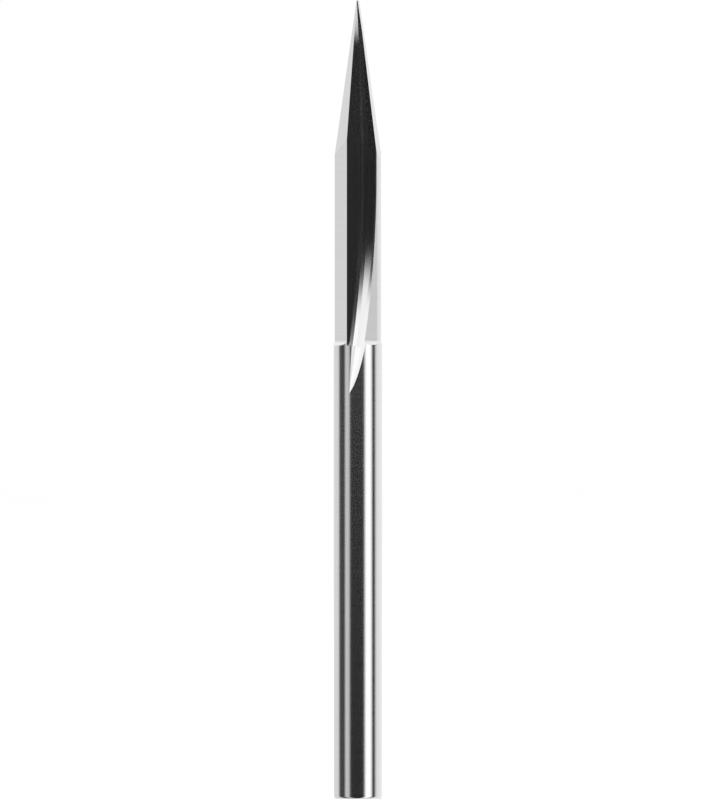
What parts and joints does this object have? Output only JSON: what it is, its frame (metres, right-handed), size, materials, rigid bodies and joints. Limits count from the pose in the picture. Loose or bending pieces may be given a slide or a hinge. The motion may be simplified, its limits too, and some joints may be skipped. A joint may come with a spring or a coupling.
{
  "type": "v groove router bit",
  "caption": "Solid carbide V-groove router bit: straight flutes ground in a slim rod, long V point, plain round shank.",
  "frame": {"origin": "centre of the shank's end face", "axes": "+Z along the bit's axis, from the shank's end to the point; a flute opens towards -Y"},
  "size_m": [0.0032, 0.0032, 0.052],
  "materials": {
    "carbide": "ground and polished tungsten carbide, mirror bright, fine grinding lines across the lands"
  },
  "bodies": {
    "root": {"router_bit": "carbide"}
  },
  "joints": []
}
